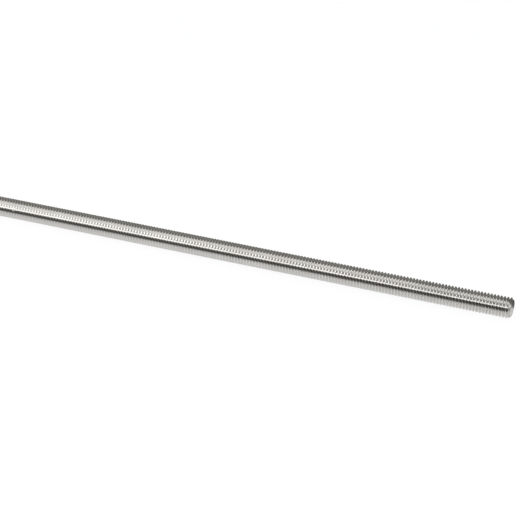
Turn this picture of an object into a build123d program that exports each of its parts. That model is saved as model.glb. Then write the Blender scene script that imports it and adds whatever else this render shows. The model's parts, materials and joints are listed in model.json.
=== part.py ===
from build123d import *
from math import radians, sqrt, tan
import os

# A fully threaded steel rod in metric coarse thread, in millimetres.
# The rod lies along X with its middle at the origin. Its barrel is turned to the thread's crests.

# Thread
NOMINAL_DIAMETER = 8.0
PITCH = 1.25
CREST_ALLOWANCE = 0.13

# Bar
LENGTH = 250.0

# Chamfered ends
FACE_INSET = 0.15
CHAMFER_ANGLE_DEG = 45.0

# Metric thread form: the sharp triangle's height as a share of the pitch,
# and the depth from the nominal diameter to the rounded root as a share of that height
TRIANGLE_HEIGHT_SHARE = sqrt(3) / 2
ROOT_DEPTH_SHARE = 17 / 24

# Radii that the thread sets. The rolled crests stay a little under the nominal diameter.
crest_radius = (NOMINAL_DIAMETER - CREST_ALLOWANCE) / 2
root_radius = NOMINAL_DIAMETER / 2 - ROOT_DEPTH_SHARE * TRIANGLE_HEIGHT_SHARE * PITCH

# Each end is chamfered to just below the root, so that a nut finds a clean start.
face_radius = root_radius - FACE_INSET
chamfer_length = (crest_radius - face_radius) / tan(radians(CHAMFER_ANGLE_DEG))


def threaded_rod():
    """The bar and both chamfered ends, turned about X from one half-section."""
    half_length = LENGTH / 2
    half_section = Polyline(
        (-half_length, 0),
        (-half_length, face_radius),
        (chamfer_length - half_length, crest_radius),
        (half_length - chamfer_length, crest_radius),
        (half_length, face_radius),
        (half_length, 0),
        close=True,
    )
    return revolve(make_face(half_section), Axis.X)


os.makedirs("parts", exist_ok=True)
export_step(threaded_rod(), "parts/threaded_rod.step")
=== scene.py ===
import json
from math import cos, pi, radians, sin, sqrt, tan

import bmesh
import bpy
import numpy as np
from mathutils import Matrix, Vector


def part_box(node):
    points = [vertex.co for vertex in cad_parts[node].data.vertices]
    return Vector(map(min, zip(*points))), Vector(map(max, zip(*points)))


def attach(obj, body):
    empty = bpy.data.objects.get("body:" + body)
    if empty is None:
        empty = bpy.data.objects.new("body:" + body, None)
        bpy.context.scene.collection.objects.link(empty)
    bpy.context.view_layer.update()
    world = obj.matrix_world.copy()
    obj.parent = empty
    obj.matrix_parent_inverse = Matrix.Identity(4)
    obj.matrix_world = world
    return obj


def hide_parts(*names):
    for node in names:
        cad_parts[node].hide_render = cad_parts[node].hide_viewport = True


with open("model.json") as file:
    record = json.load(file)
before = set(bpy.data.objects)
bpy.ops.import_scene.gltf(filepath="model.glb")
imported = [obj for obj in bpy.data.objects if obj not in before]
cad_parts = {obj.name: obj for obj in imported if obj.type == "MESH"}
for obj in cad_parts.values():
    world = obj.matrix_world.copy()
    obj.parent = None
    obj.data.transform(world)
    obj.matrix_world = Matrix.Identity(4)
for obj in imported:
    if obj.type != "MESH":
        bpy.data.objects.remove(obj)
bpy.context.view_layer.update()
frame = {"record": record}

# The rod
# A round bar of stainless steel with a right-hand metric thread rolled into it from end to end.
# It is sawn to length, and each end is then turned to a flat face with a 45 degree chamfer round it.
rod_low, rod_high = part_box("threaded_rod")
half_length = (rod_high.x - rod_low.x) / 2
thread_mount = next(mount for mount in frame["record"]["mounts"] if mount["name"] == "thread")
mm_per_metre = 1000
crest_radius = thread_mount["dims"]["r_mm"] / mm_per_metre
chamfer_length = half_length - thread_mount["dims"]["length_mm"] / mm_per_metre / 2
face_radius = crest_radius - chamfer_length

# Metric thread form. The root's depth and rounding are shares of the sharp triangle's height,
# and the crest's flat is a share of the pitch. The rolled crests stay under the nominal radius.
nominal_radius = 4.0e-3
pitch = 1.25e-3
flank_angle = radians(30)
root_depth_share = 17 / 24
root_rounding_share = 1 / 6
crest_flat_share = 1 / 8
triangle_height = pitch * sqrt(3) / 2
root_radius = nominal_radius - triangle_height * root_depth_share
root_rounding = triangle_height * root_rounding_share
crest_half_width = pitch * crest_flat_share / 2 + (nominal_radius - crest_radius) * tan(flank_angle)
crest_edge = 0.035e-3
thread_turn_deg = -33.0
steps_per_turn = 48
spare_turns = 3
cutter_steps = 96


def tooth_outline():
    """One pitch of the thread from crest to crest: how far along the rod, and at which radius."""
    flank_top = crest_half_width + crest_edge * sin(flank_angle)
    flank_top_radius = crest_radius - crest_edge * cos(flank_angle)
    flat_end = crest_half_width - crest_edge
    crest = [
        (-flank_top, flank_top_radius),
        (-flat_end, crest_radius),
        (flat_end, crest_radius),
        (flank_top, flank_top_radius),
    ]
    root = []
    for lean_deg in (-60, -30, 0, 30, 60):
        lean = radians(lean_deg)
        along = pitch / 2 + root_rounding * sin(lean)
        root.append((along, root_radius + root_rounding * (1 - cos(lean))))
    return crest + root


def rolled_thread():
    """The thread as one helical skin, a few turns longer than the rod, closed at both ends."""
    outline = tooth_outline()
    rows = len(outline)
    turns = int(2 * half_length / pitch) + 2 * spare_turns
    steps = turns * steps_per_turn
    step = np.arange(steps + 1)
    turn = 2 * pi * step / steps_per_turn + radians(thread_turn_deg)
    along = pitch * (step / steps_per_turn - turns / 2)
    points = np.zeros((steps + 1, rows, 3))
    for row, (offset, radius) in enumerate(outline):
        points[:, row, 0] = along + offset
        points[:, row, 1] = radius * np.cos(turn)
        points[:, row, 2] = radius * np.sin(turn)
    number = np.arange((steps + 1) * rows).reshape(steps + 1, rows)

    # Each row of the outline joins the next one, and the last row joins the first a turn later.
    seams = [(number[:, row], number[:, row + 1]) for row in range(rows - 1)]
    seams.append((number[:-steps_per_turn, -1], number[steps_per_turn:, 0]))
    quads = [np.stack([here[:-1], here[1:], there[1:], there[:-1]], 1) for here, there in seams]

    # Each open end is closed by a fan of faces from a point on the axis.
    start_tip, end_tip = number.size, number.size + 1
    tips = [[points[0, 0, 0], 0, 0], [points[-1, -1, 0], 0, 0]]
    start_rim = [*number[: steps_per_turn + 1, 0], *number[0, :0:-1], number[0, 0]]
    end_rim = [*number[-steps_per_turn - 1:, -1], *number[-1, -2::-1], number[-steps_per_turn - 1, -1]]
    caps = [(start_tip, int(there), int(here)) for here, there in zip(start_rim, start_rim[1:])]
    caps += [(end_tip, int(here), int(there)) for here, there in zip(end_rim, end_rim[1:])]
    mesh = bpy.data.meshes.new("threaded_rod_steel")
    mesh.from_pydata([*points.reshape(-1, 3), *tips], [], [*np.concatenate(quads).tolist(), *caps])
    mesh.validate()
    return mesh


def end_cutter(side):
    """What the lathe takes off one end: all past the flat face and outside the chamfer."""
    outside = 2 * crest_radius
    beyond = half_length + 2 * spare_turns * pitch
    outline = [
        (half_length, face_radius),
        (half_length + face_radius - outside, outside),
        (beyond, outside),
    ]
    count = len(outline)
    points = []
    for step in range(cutter_steps):
        turn = 2 * pi * step / cutter_steps
        for along, radius in outline:
            points.append((side * along, radius * cos(turn), radius * sin(turn)))
    faces = []
    for step in range(cutter_steps):
        here, there = step * count, (step + 1) % cutter_steps * count
        for row in range(count - 1):
            faces.append((here + row, there + row, there + row + 1, here + row + 1))
    for row in (0, count - 1):
        rim = [step * count + row for step in range(cutter_steps)]
        faces.append(rim if row else rim[::-1])
    if side < 0:
        faces = [face[::-1] for face in faces]
    mesh = bpy.data.meshes.new("end_cutter")
    mesh.from_pydata(points, [], faces)
    mesh.update()
    cutter = bpy.data.objects.new("end_cutter", mesh)
    bpy.context.scene.collection.objects.link(cutter)
    return cutter


class Socket:
    """One socket among a material's nodes. Sums on it make Math nodes, and add makes any other node."""

    def __init__(self, tree, socket=None):
        self.tree = tree
        self.socket = socket

    def add(self, kind, settings, inputs, output=0):
        node = self.tree.nodes.new(kind)
        for name, value in settings.items():
            setattr(node, name, value)
        for name, value in inputs.items():
            if isinstance(value, Socket):
                value.feed(node.inputs[name])
            else:
                node.inputs[name].default_value = value
        return Socket(self.tree, node.outputs[output])

    def feed(self, entry):
        self.tree.links.new(self.socket, entry)

    def maths(self, operation, *values):
        return self.add("ShaderNodeMath", {"operation": operation}, dict(enumerate(values)))

    def __add__(self, other):
        return self.maths("ADD", self, other)

    def __sub__(self, other):
        return self.maths("SUBTRACT", self, other)

    def __rsub__(self, other):
        return self.maths("SUBTRACT", other, self)

    def __mul__(self, other):
        return self.maths("MULTIPLY", self, other)

    def __truediv__(self, other):
        return self.maths("DIVIDE", self, other)

    def __rtruediv__(self, other):
        return self.maths("DIVIDE", other, self)

    __radd__ = __add__
    __rmul__ = __mul__

    def split(self):
        """The x, y and z of a vector."""
        node = self.add("ShaderNodeSeparateXYZ", {}, {"Vector": self}).socket.node
        return [Socket(self.tree, output) for output in node.outputs]

    def rise(self, low, high):
        """A soft step from 0 at low to 1 at high."""
        inputs = {"Value": self, "From Min": low, "From Max": high}
        return self.add("ShaderNodeMapRange", {"interpolation_type": "SMOOTHSTEP"}, inputs)

    def blend(self, none, full):
        """A colour between two others, by how far this value is from 0 to 1.
        A Mix node's sockets share their names, so these are called by their place in it."""
        share, first_colour, second_colour, mixed_colour = 0, 6, 7, 2
        inputs = {share: self, first_colour: none, second_colour: full}
        return self.add("ShaderNodeMix", {"data_type": "RGBA"}, inputs, mixed_colour)

    def cover(self, under, over):
        """A shader between two others, by how far this value is from 0 to 1."""
        return self.add("ShaderNodeMixShader", {}, {0: self, 1: under, 2: over})


def blank_material(name):
    """A material with no shader yet, where its nodes start, and the surface that a shader goes to."""
    material = bpy.data.materials.new(name)
    material.use_nodes = True
    tree = material.node_tree
    tree.nodes.clear()
    surface = tree.nodes.new("ShaderNodeOutputMaterial").inputs["Surface"]
    return material, Socket(tree), surface


def bare_steel(nodes, colour, roughness, marks, marks_depth, marks_strength):
    """Uncoated metal with fine marks in its surface."""
    inputs = {"Strength": marks_strength, "Distance": marks_depth, "Height": marks}
    relief = nodes.add("ShaderNodeBump", {}, inputs)
    return nodes.add(
        "ShaderNodeBsdfPrincipled",
        {},
        {"Base Color": colour, "Metallic": 1.0, "Roughness": roughness, "Normal": relief},
    )


def rolled_finish():
    """Bright flanks with fine lines along the thread, faint cloudy patches, and rougher roots that are
    darker in patches: partly residue, partly painted shade.
    """
    clean_steel = (0.65, 0.64, 0.615, 1)
    cloudy_steel = (0.615, 0.605, 0.58, 1)
    scored_steel = (0.56, 0.545, 0.515, 1)
    darker_steel = (0.54, 0.525, 0.5, 1)
    material, nodes, surface = blank_material("rolled_stainless_steel")
    place = nodes.add("ShaderNodeTexCoord", {}, {}, "Object")
    y, z = place.split()[1:]
    radius = nodes.maths("SQRT", y * y + z * z)
    depth = (crest_radius - radius) / (crest_radius - root_radius)
    root = depth.rise(low=0.72, high=1.0)
    crest = depth.rise(low=0.1, high=0.0)
    patches = nodes.add("ShaderNodeTexNoise", {}, {"Vector": place, "Scale": 90, "Detail": 3})
    lines = nodes.add(
        "ShaderNodeTexNoise",
        {"noise_dimensions": "4D"},
        {"Vector": place, "W": radius * 90, "Scale": 110, "Detail": 2},
    )
    colour = patches.rise(low=0.3, high=0.7).blend(clean_steel, cloudy_steel)
    colour = (lines.rise(low=0.55, high=0.75) * 0.3).blend(colour, scored_steel)
    # The roots are darker in patches: partly residue left in the hollows, partly painted shade.
    colour = (root * patches * 0.3).blend(colour, darker_steel)
    roughness = 0.04 + lines * 0.04 + patches * 0.03 + root * 0.02 + crest * 0.02
    bare_steel(nodes, colour, roughness, marks=lines, marks_depth=2e-6, marks_strength=0.5).feed(surface)
    return material


def turned_finish():
    """Fine rings left by the lathe tool, on the flat faces and round the chamfers."""
    ring_steel = (0.47, 0.46, 0.44, 1)
    ridge_steel = (0.55, 0.54, 0.52, 1)
    darker_steel = (0.4, 0.385, 0.36, 1)
    material, nodes, surface = blank_material("turned_stainless_steel")
    place = nodes.add("ShaderNodeTexCoord", {}, {}, "Object")
    x, y, z = place.split()
    across = nodes.maths("SQRT", y * y + z * z) - nodes.maths("ABSOLUTE", x)
    rings = nodes.add(
        "ShaderNodeTexNoise",
        {"noise_dimensions": "4D"},
        {"Vector": place, "W": across * 60, "Scale": 130, "Detail": 3},
    )
    stains = nodes.add("ShaderNodeTexNoise", {}, {"Vector": place, "Scale": 400, "Detail": 2})
    colour = rings.rise(low=0.35, high=0.65).blend(ring_steel, ridge_steel)
    colour = (stains.rise(low=0.5, high=0.8) * 0.5).blend(colour, darker_steel)
    roughness = 0.26 + rings * 0.12
    bare_steel(nodes, colour, roughness, marks=rings, marks_depth=6e-6, marks_strength=0.6).feed(surface)
    return material


rod = bpy.data.objects.new("threaded_rod_steel", rolled_thread())
rod.data.materials.append(rolled_finish())
bpy.context.scene.collection.objects.link(rod)
turned_steel = turned_finish()
cutters = [end_cutter(side) for side in (1, -1)]
for cutter in cutters:
    cutter.data.materials.append(turned_steel)
    cut = rod.modifiers.new("turned_end", "BOOLEAN")
    cut.operation = "DIFFERENCE"
    cut.solver = "MANIFOLD"
    cut.material_mode = "TRANSFER"
    cut.object = cutter
turned_rod = bpy.data.meshes.new_from_object(rod.evaluated_get(bpy.context.evaluated_depsgraph_get()))
rod.modifiers.clear()
rod.data = turned_rod
for cutter in cutters:
    bpy.data.objects.remove(cutter)

# A small nick in one crest near the left of what the photo shows.
nick_from_end = 0.2063
nick_turn = radians(24.9)
nick_reach = 0.9e-3
nick_depth = 0.16e-3
nick_place = Vector(
    (half_length - nick_from_end, -crest_radius * cos(nick_turn), crest_radius * sin(nick_turn))
)
for vertex in turned_rod.vertices:
    gap = (vertex.co - nick_place).length / nick_reach
    if gap < 1:
        vertex.co.yz *= 1 - nick_depth * (1 - gap * gap) / crest_radius

strips = 3
strip_gutter = 0.8e-3


def lay_flat(mesh):
    """The skin laid flat for its finish: the thread in strips side by side, and the two ends as discs."""
    corner_count = len(mesh.loops)
    vertex = np.zeros(corner_count, int)
    mesh.loops.foreach_get("vertex_index", vertex)
    places = np.zeros(len(mesh.vertices) * 3)
    mesh.vertices.foreach_get("co", places)
    places = places.reshape(-1, 3)[vertex]
    sizes = np.zeros(len(mesh.polygons), int)
    mesh.polygons.foreach_get("loop_total", sizes)
    finish = np.zeros(len(mesh.polygons), int)
    mesh.polygons.foreach_get("material_index", finish)
    starts = np.cumsum(sizes) - sizes
    middles = np.repeat(np.add.reduceat(places, starts) / sizes[:, None], sizes, 0)
    turned = np.repeat(finish, sizes) == 1

    # Strips of the thread, each unrolled at the crest radius and cut open along one line.
    turn = np.arctan2(places[:, 2], places[:, 1])
    middle_turn = np.arctan2(middles[:, 2], middles[:, 1])
    turn = middle_turn + (turn - middle_turn + pi) % (2 * pi) - pi
    girth = 2 * pi * crest_radius
    strip_width = girth + 2 * strip_gutter
    strip_length = 2 * half_length / strips
    strip = np.clip((middles[:, 0] + half_length) // strip_length, 0, strips - 1)
    flat = np.zeros((corner_count, 2))
    flat[:, 0] = (strip + 0.5) * strip_width + turn * crest_radius
    flat[:, 1] = strip_gutter + places[:, 0] + half_length - strip * strip_length

    # Discs of the two turned ends, one above the other beside the strips.
    disc = 2 * (crest_radius + strip_gutter)
    right = middles[:, 0] > 0
    flat[turned, 0] = strips * strip_width + disc / 2 + places[turned, 1]
    flat[turned, 1] = disc * (0.5 + right[turned]) + places[turned, 2]
    whole = max(strips * strip_width + disc, strip_length + 2 * strip_gutter)
    mesh.uv_layers.new(name="OFBake").data.foreach_set("uv", (flat / whole).ravel())


lay_flat(turned_rod)

# The thread is shaded smooth all round, with crisp edges only at the turned ends.
turned_rod.shade_smooth()
sharpest_soft_edge = radians(35)
shape = bmesh.new()
shape.from_mesh(turned_rod)
for edge in shape.edges:
    one_finish = len({face.material_index for face in edge.link_faces}) == 1
    edge.smooth = one_finish and edge.calc_face_angle(0) < sharpest_soft_edge
shape.to_mesh(turned_rod)
shape.free()
flat_flanks = rod.modifiers.new("flat_flanks", "WEIGHTED_NORMAL")
flat_flanks.weight = 100
flat_flanks.keep_sharp = True
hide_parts("threaded_rod")
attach(rod, "root")

# The table
# A wide sheet of white paper, laid flat under the rod.
# It shows white to the camera and in the metal, and keeps a faint shadow of the rod.
white_fibre = (0.88, 0.89, 0.91, 1)
grey_fibre = (0.86, 0.87, 0.89, 1)
camera_glow_share = 0.93
metal_glow_share = 0.6
paper, nodes, surface = blank_material("white_paper")
in_camera = nodes.add("ShaderNodeLightPath", {}, {}, "Is Camera Ray")
in_metal = nodes.add("ShaderNodeLightPath", {}, {}, "Is Glossy Ray")
in_glass = nodes.add("ShaderNodeLightPath", {}, {}, "Is Transmission Ray")
mirrored = nodes.maths("MAXIMUM", in_metal, in_glass)
glow_share = in_camera * camera_glow_share + mirrored * metal_glow_share
place = nodes.add("ShaderNodeTexCoord", {}, {}, "Object")
fibres = nodes.add("ShaderNodeTexNoise", {}, {"Vector": place, "Scale": 40})
lit_paper = nodes.add(
    "ShaderNodeBsdfPrincipled",
    {},
    {"Base Color": fibres.blend(white_fibre, grey_fibre), "Roughness": 1.0, "Specular IOR Level": 0.0},
)
glow = nodes.add("ShaderNodeEmission", {}, {"Color": (1, 1, 1, 1), "Strength": 1.0})
glow_share.cover(lit_paper, glow).feed(surface)

reach = 12.0
floor_z = -crest_radius
floor_corners = [
    (-reach, -reach, floor_z),
    (reach, -reach, floor_z),
    (reach, reach, floor_z),
    (-reach, reach, floor_z),
]
floor_mesh = bpy.data.meshes.new("table_top")
floor_mesh.from_pydata(floor_corners, [], [(0, 1, 2, 3)])
floor_mesh.materials.append(paper)
table = bpy.data.objects.new("table_top", floor_mesh)
bpy.context.scene.collection.objects.link(table)

# The cards
# Sheets of grey and black card round the rod, out of the camera's sight, which draw the darker
# bands in the metal. Each lets light past towards its edges, so that its reflection has soft borders.
warm_tint = (1, 0.97, 0.9)
plain_tint = (1, 1, 1)


def round_the_rod(up_deg, away):
    """How far back and up a place is, at an angle up from the front and a distance from the axis."""
    return -cos(radians(up_deg)) * away, sin(radians(up_deg)) * away


def card(name, low_edge, high_edge, along, up_deg, shade, tint=warm_tint):
    """A card between two long edges. Along the rod, and by its angle up from the front,
    it starts, is whole from, is whole to, and ends. A shade of 0 is black."""
    start, whole_from, whole_to, end = along
    low, whole_low, whole_high, high = [radians(angle) for angle in up_deg]
    material, nodes, surface = blank_material(name)
    x, y, z = nodes.add("ShaderNodeTexCoord", {}, {}, "Object").split()
    up = nodes.maths("ARCTAN2", y, z) + pi / 2
    whole = x.rise(start, whole_from) * x.rise(end, whole_to)
    whole = whole * up.rise(low, whole_low) * up.rise(high, whole_high)
    clear = nodes.add("ShaderNodeBsdfTransparent", {}, {})
    colour = (*(shade * part for part in tint), 1)
    grey = nodes.add("ShaderNodeEmission", {}, {"Color": colour, "Strength": 1.0})
    whole.cover(clear, grey).feed(surface)
    mesh = bpy.data.meshes.new(name)
    corners = [(start, *low_edge), (end, *low_edge), (end, *high_edge), (start, *high_edge)]
    mesh.from_pydata(corners, [], [(0, 1, 2, 3)])
    mesh.materials.append(material)
    sheet = bpy.data.objects.new(name, mesh)
    sheet.visible_camera = False
    sheet.visible_diffuse = False
    sheet.visible_shadow = False
    bpy.context.scene.collection.objects.link(sheet)


# Distances from the rod's axis, where cards meet the table, and how far along the rod they reach.
far = 0.6
near = 0.3
nearer = 0.28
close = 0.1
just_above = floor_z + 0.1e-3
front_foot = (-0.0068, just_above)
back_foot = (0.0022, just_above)
rear_foot = (0.0058, just_above)
end_foot = (0.0147, just_above)
horizon_deg = -0.7
end_margin = 0.002
just_short = half_length - end_margin
just_past = half_length + end_margin
past_both_ends = (-0.8, -0.7, 0.7, 0.8)

# The black band along the front, with a grey step above it that is darker to the right.
card(
    "front_card",
    low_edge=front_foot,
    high_edge=round_the_rod(20, far),
    along=past_both_ends,
    up_deg=(-29, -12, 1, 7),
    shade=0.1,
)
card(
    "step_card",
    low_edge=round_the_rod(horizon_deg, near),
    high_edge=round_the_rod(14, near),
    along=(-1.4, -1.2, 1.2, 1.4),
    up_deg=(-3, -2, 8.7, 13.9),
    shade=0.38,
)
card(
    "low_card",
    low_edge=round_the_rod(horizon_deg, near),
    high_edge=round_the_rod(26, near),
    along=(0.01, 0.03, 1.2, 1.4),
    up_deg=(-3, -2, 12, 26),
    shade=0.05,
)
card(
    "right_low_card",
    low_edge=round_the_rod(horizon_deg, nearer),
    high_edge=round_the_rod(24, nearer),
    along=(0.285, 0.36, 2.0, 2.2),
    up_deg=(-3, -2, 15.5, 24),
    shade=0.0,
)

# The row of dark dots above the black band.
card(
    "gap_card",
    low_edge=round_the_rod(34, near),
    high_edge=round_the_rod(82, near),
    along=(-0.005, 0.14, 0.34, 0.39),
    up_deg=(34, 37, 60, 81),
    shade=0.0,
)

# The dark band along the top, the band along the back, and the shade on the end's chamfer.
card(
    "back_card",
    low_edge=back_foot,
    high_edge=round_the_rod(98, far),
    along=(-0.8, -0.7, half_length, just_past),
    up_deg=(100, 117, 119, 156),
    shade=0.21,
)
card(
    "rear_card",
    low_edge=rear_foot,
    high_edge=round_the_rod(171, far),
    along=past_both_ends,
    up_deg=(171, 178, 203, 213),
    shade=0.11,
)
card(
    "end_card",
    low_edge=end_foot,
    high_edge=round_the_rod(98, close),
    along=(just_short, just_past, 0.35, 0.4),
    up_deg=(98, 110, 180, 190),
    shade=0.17,
)

# A pale grey sheet on the table, in front of the rod's left half, seen only in the metal: painted shade
# on the table's reflection there.
card(
    "floor_shade_card",
    low_edge=(-0.03, just_above),
    high_edge=(-0.002, just_above),
    along=(-0.5, -0.4, -0.06, 0.02),
    up_deg=(-64, -63, -9, -7),
    shade=0.85,
    tint=plain_tint,
)

# The lamps
# White walls all round, and five softboxes with cloth fronts, hung facing the rod.
# Each is brightest in the middle and fades towards its edges, and the camera doesn't see it.


def softbox(name, up_deg, wide, along, brightness):
    """A flat lamp facing the rod. Along the rod it starts, is full from, is full to, and ends.
    A brightness of 1 is white."""
    full_low, full_high = 0.4, 0.6
    start, full_from, full_to, end = along
    lamp = bpy.data.lights.new(name, "AREA")
    lamp.shape = "RECTANGLE"
    lamp.size = end - start
    lamp.size_y = wide
    lamp.energy = brightness * pi * lamp.size * lamp.size_y
    lamp.use_nodes = True
    nodes = Socket(lamp.node_tree)
    side, height = nodes.add("ShaderNodeNewGeometry", {}, {}, "Parametric").split()[:2]
    full = side.rise(0, (full_from - start) / lamp.size) * side.rise(1, (full_to - start) / lamp.size)
    full = full * height.rise(0, full_low) * height.rise(1, full_high)
    full.feed(lamp.node_tree.nodes["Emission"].inputs["Color"])
    box = bpy.data.objects.new(name, lamp)
    box.location = ((start + end) / 2, *round_the_rod(up_deg, near))
    box.rotation_euler.x = radians(90 - up_deg)
    box.visible_camera = False
    bpy.context.scene.collection.objects.link(box)


softbox("front_softbox", up_deg=28, wide=0.142, along=(-0.4, -0.06, -0.045, 0.145), brightness=2.12)
softbox("front_right_softbox", up_deg=48, wide=0.35, along=(0.04, 0.095, 0.6, 0.9), brightness=0.63)
softbox("top_softbox", up_deg=90.5, wide=0.33, along=(-0.125, -0.02, 0.025, 0.16), brightness=0.77)
softbox("left_softbox", up_deg=54, wide=0.15, along=(-1.5, -0.6, -0.24, -0.155), brightness=1.9)
softbox("right_softbox", up_deg=78.5, wide=0.23, along=(0.305, 0.71, 1.4, 1.5), brightness=2.2)
world = bpy.data.worlds.new("white_walls")
bpy.context.scene.world = world
world.use_nodes = True
walls = world.node_tree.nodes["Background"].inputs
walls["Color"].default_value = (1, 1, 1, 1)
walls["Strength"].default_value = 1.0

# The camera
# It stands in front of the rod, to the right and above, with a long lens, at the photo's own angle.
# It looks at a point on the rod's axis, so that the right end is near the picture's edge.
view_azimuth = radians(22.776)
view_elevation = radians(28.447)
view_distance = 0.6614
aim_from_end = 0.1010
camera_data = bpy.data.cameras.new("photo_camera")
camera_data.lens = 119.93
camera_data.sensor_width = 36
camera_data.clip_start = 0.01
camera_data.clip_end = 50
camera = bpy.data.objects.new("photo_camera", camera_data)
bpy.context.scene.collection.objects.link(camera)
aim = Vector((half_length - aim_from_end, 0, 0))
towards_camera = Vector(
    (
        sin(view_azimuth) * cos(view_elevation),
        -cos(view_azimuth) * cos(view_elevation),
        sin(view_elevation),
    )
)
camera.location = aim + towards_camera * view_distance
camera.rotation_mode = "QUATERNION"
camera.rotation_quaternion = (-towards_camera).to_track_quat("-Z", "Y")
bpy.context.scene.camera = camera
bpy.context.scene.view_settings.view_transform = "Standard"
